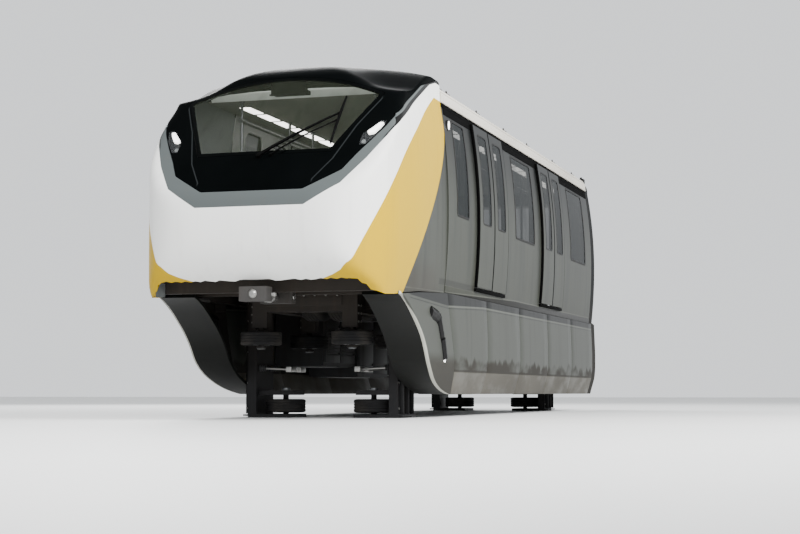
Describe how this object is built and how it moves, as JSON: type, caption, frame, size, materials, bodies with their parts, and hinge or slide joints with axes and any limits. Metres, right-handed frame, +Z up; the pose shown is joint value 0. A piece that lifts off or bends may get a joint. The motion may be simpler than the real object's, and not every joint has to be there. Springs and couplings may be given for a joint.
{
  "type": "monorail car",
  "caption": "Hollow lead car of a straddle-beam monorail with raked nose, sliding door leaves, skirts and swivelling bogies around a beam channel.",
  "frame": {"origin": "middle of the car's length and width, at the underside of the bogie feet that it stands on", "axes": "+X forward to the nose, +Y to the car's left, +Z up"},
  "size_m": [13.33, 3.225, 4.508],
  "materials": {
    "nose_white": "gloss painted moulding",
    "mask_black": "high gloss",
    "body_grey": "satin paint, dusty",
    "skirt_grey": "satin paint, streaked with dirt",
    "roof_cream": "matt paint",
    "frame_black": "matt paint over steel",
    "machine_grey": "satin paint over steel",
    "tyre": "matt rubber with road dust",
    "bellows_grey": "matt coated fabric",
    "interior_panel": "satin",
    "seat_blue": "satin moulding",
    "stainless": "brushed",
    "lens": "clear moulded lens",
    "window_glass": "tinted"
  },
  "bodies": {
    "car_body": {"underframe": "frame_black", "roof": "roof_cream", "nose_shell": "nose_white", "front_mask": "mask_black", "windscreen": "window_glass", "end_wall": "interior_panel", "gangway": "bellows_grey", "drawbar": "machine_grey", "coupler": "machine_grey", "control_desk": "interior_panel", "seat_island_front": "seat_blue", "seat_island_rear": "seat_blue", "grab_rail_left": "stainless", "side_wall_left": "body_grey", "side_skirt_left": "skirt_grey", "front_skirt_left": "skirt_grey", "equipment_left": "machine_grey", "wall_bench_left": "seat_blue", "headlight_left": "lens", "window_front_left": "window_glass", "window_middle_left": "window_glass", "window_rear_left": "window_glass", "grab_rail_right": "stainless", "side_wall_right": "body_grey", "side_skirt_right": "skirt_grey", "front_skirt_right": "skirt_grey", "equipment_right": "machine_grey", "wall_bench_right": "seat_blue", "headlight_right": "lens", "window_front_right": "window_glass", "window_middle_right": "window_glass", "window_rear_right": "window_glass"},
    "door_front_left_ahead": {"door_front_left_ahead": "body_grey"},
    "door_front_left_behind": {"door_front_left_behind": "body_grey"},
    "door_rear_left_ahead": {"door_rear_left_ahead": "body_grey"},
    "door_rear_left_behind": {"door_rear_left_behind": "body_grey"},
    "door_front_right_ahead": {"door_front_right_ahead": "body_grey"},
    "door_front_right_behind": {"door_front_right_behind": "body_grey"},
    "door_rear_right_ahead": {"door_rear_right_ahead": "body_grey"},
    "door_rear_right_behind": {"door_rear_right_behind": "body_grey"},
    "bogie_front": {"bogie_frame_front": "frame_black", "motor_front": "machine_grey"},
    "load_wheelset_front": {"load_wheelset_front": "tyre"},
    "guide_wheel_front_left_ahead": {"guide_wheel_front_left_ahead": "tyre"},
    "guide_wheel_front_left_behind": {"guide_wheel_front_left_behind": "tyre"},
    "stabiliser_wheel_front_left": {"stabiliser_wheel_front_left": "tyre"},
    "guide_wheel_front_right_ahead": {"guide_wheel_front_right_ahead": "tyre"},
    "guide_wheel_front_right_behind": {"guide_wheel_front_right_behind": "tyre"},
    "stabiliser_wheel_front_right": {"stabiliser_wheel_front_right": "tyre"},
    "bogie_rear": {"bogie_frame_rear": "frame_black", "motor_rear": "machine_grey"},
    "load_wheelset_rear": {"load_wheelset_rear": "tyre"},
    "guide_wheel_rear_left_ahead": {"guide_wheel_rear_left_ahead": "tyre"},
    "guide_wheel_rear_left_behind": {"guide_wheel_rear_left_behind": "tyre"},
    "stabiliser_wheel_rear_left": {"stabiliser_wheel_rear_left": "tyre"},
    "guide_wheel_rear_right_ahead": {"guide_wheel_rear_right_ahead": "tyre"},
    "guide_wheel_rear_right_behind": {"guide_wheel_rear_right_behind": "tyre"},
    "stabiliser_wheel_rear_right": {"stabiliser_wheel_rear_right": "tyre"}
  },
  "joints": [
    {"name": "door_front_left_ahead_slide", "type": "slide", "parent": "car_body", "child": "door_front_left_ahead", "axis": [1, 0, 0], "range_m": [0, 0.8]},
    {"name": "door_front_left_behind_slide", "type": "slide", "parent": "car_body", "child": "door_front_left_behind", "axis": [1, 0, 0], "range_m": [-0.8, 0]},
    {"name": "door_rear_left_ahead_slide", "type": "slide", "parent": "car_body", "child": "door_rear_left_ahead", "axis": [1, 0, 0], "range_m": [0, 0.8]},
    {"name": "door_rear_left_behind_slide", "type": "slide", "parent": "car_body", "child": "door_rear_left_behind", "axis": [1, 0, 0], "range_m": [-0.8, 0]},
    {"name": "door_front_right_ahead_slide", "type": "slide", "parent": "car_body", "child": "door_front_right_ahead", "axis": [1, 0, 0], "range_m": [0, 0.8]},
    {"name": "door_front_right_behind_slide", "type": "slide", "parent": "car_body", "child": "door_front_right_behind", "axis": [1, 0, 0], "range_m": [-0.8, 0]},
    {"name": "door_rear_right_ahead_slide", "type": "slide", "parent": "car_body", "child": "door_rear_right_ahead", "axis": [1, 0, 0], "range_m": [0, 0.8]},
    {"name": "door_rear_right_behind_slide", "type": "slide", "parent": "car_body", "child": "door_rear_right_behind", "axis": [1, 0, 0], "range_m": [-0.8, 0]},
    {"name": "bogie_front_swivel", "type": "hinge", "parent": "car_body", "child": "bogie_front", "pos_m": [3.835, 0, 1.6], "axis": [0, 0, 1], "range_deg": [-6, 6]},
    {"name": "load_wheelset_front_spin", "type": "hinge", "parent": "bogie_front", "child": "load_wheelset_front", "pos_m": [3.835, 0, 1.755], "axis": [0, 1, 0], "continuous": true},
    {"name": "guide_wheel_front_left_ahead_spin", "type": "hinge", "parent": "bogie_front", "child": "guide_wheel_front_left_ahead", "pos_m": [4.705, 0.605, 1], "axis": [0, 0, 1], "continuous": true},
    {"name": "guide_wheel_front_left_behind_spin", "type": "hinge", "parent": "bogie_front", "child": "guide_wheel_front_left_behind", "pos_m": [2.965, 0.605, 1], "axis": [0, 0, 1], "continuous": true},
    {"name": "stabiliser_wheel_front_left_spin", "type": "hinge", "parent": "bogie_front", "child": "stabiliser_wheel_front_left", "pos_m": [3.835, 0.605, 0.15], "axis": [0, 0, 1], "continuous": true},
    {"name": "guide_wheel_front_right_ahead_spin", "type": "hinge", "parent": "bogie_front", "child": "guide_wheel_front_right_ahead", "pos_m": [4.705, -0.605, 1], "axis": [0, 0, 1], "continuous": true},
    {"name": "guide_wheel_front_right_behind_spin", "type": "hinge", "parent": "bogie_front", "child": "guide_wheel_front_right_behind", "pos_m": [2.965, -0.605, 1], "axis": [0, 0, 1], "continuous": true},
    {"name": "stabiliser_wheel_front_right_spin", "type": "hinge", "parent": "bogie_front", "child": "stabiliser_wheel_front_right", "pos_m": [3.835, -0.605, 0.15], "axis": [0, 0, 1], "continuous": true},
    {"name": "bogie_rear_swivel", "type": "hinge", "parent": "car_body", "child": "bogie_rear", "pos_m": [-4.865, 0, 1.6], "axis": [0, 0, 1], "range_deg": [-6, 6]},
    {"name": "load_wheelset_rear_spin", "type": "hinge", "parent": "bogie_rear", "child": "load_wheelset_rear", "pos_m": [-4.865, 0, 1.755], "axis": [0, 1, 0], "continuous": true},
    {"name": "guide_wheel_rear_left_ahead_spin", "type": "hinge", "parent": "bogie_rear", "child": "guide_wheel_rear_left_ahead", "pos_m": [-3.995, 0.605, 1], "axis": [0, 0, 1], "continuous": true},
    {"name": "guide_wheel_rear_left_behind_spin", "type": "hinge", "parent": "bogie_rear", "child": "guide_wheel_rear_left_behind", "pos_m": [-5.735, 0.605, 1], "axis": [0, 0, 1], "continuous": true},
    {"name": "stabiliser_wheel_rear_left_spin", "type": "hinge", "parent": "bogie_rear", "child": "stabiliser_wheel_rear_left", "pos_m": [-4.865, 0.605, 0.15], "axis": [0, 0, 1], "continuous": true},
    {"name": "guide_wheel_rear_right_ahead_spin", "type": "hinge", "parent": "bogie_rear", "child": "guide_wheel_rear_right_ahead", "pos_m": [-3.995, -0.605, 1], "axis": [0, 0, 1], "continuous": true},
    {"name": "guide_wheel_rear_right_behind_spin", "type": "hinge", "parent": "bogie_rear", "child": "guide_wheel_rear_right_behind", "pos_m": [-5.735, -0.605, 1], "axis": [0, 0, 1], "continuous": true},
    {"name": "stabiliser_wheel_rear_right_spin", "type": "hinge", "parent": "bogie_rear", "child": "stabiliser_wheel_rear_right", "pos_m": [-4.865, -0.605, 0.15], "axis": [0, 0, 1], "continuous": true}
  ],
  "couplings": [
    {"joint": "door_front_left_behind_slide", "follows": "door_front_left_ahead_slide", "ratio": -1},
    {"joint": "door_rear_left_behind_slide", "follows": "door_rear_left_ahead_slide", "ratio": -1},
    {"joint": "door_front_right_behind_slide", "follows": "door_front_right_ahead_slide", "ratio": -1},
    {"joint": "door_rear_right_behind_slide", "follows": "door_rear_right_ahead_slide", "ratio": -1}
  ]
}
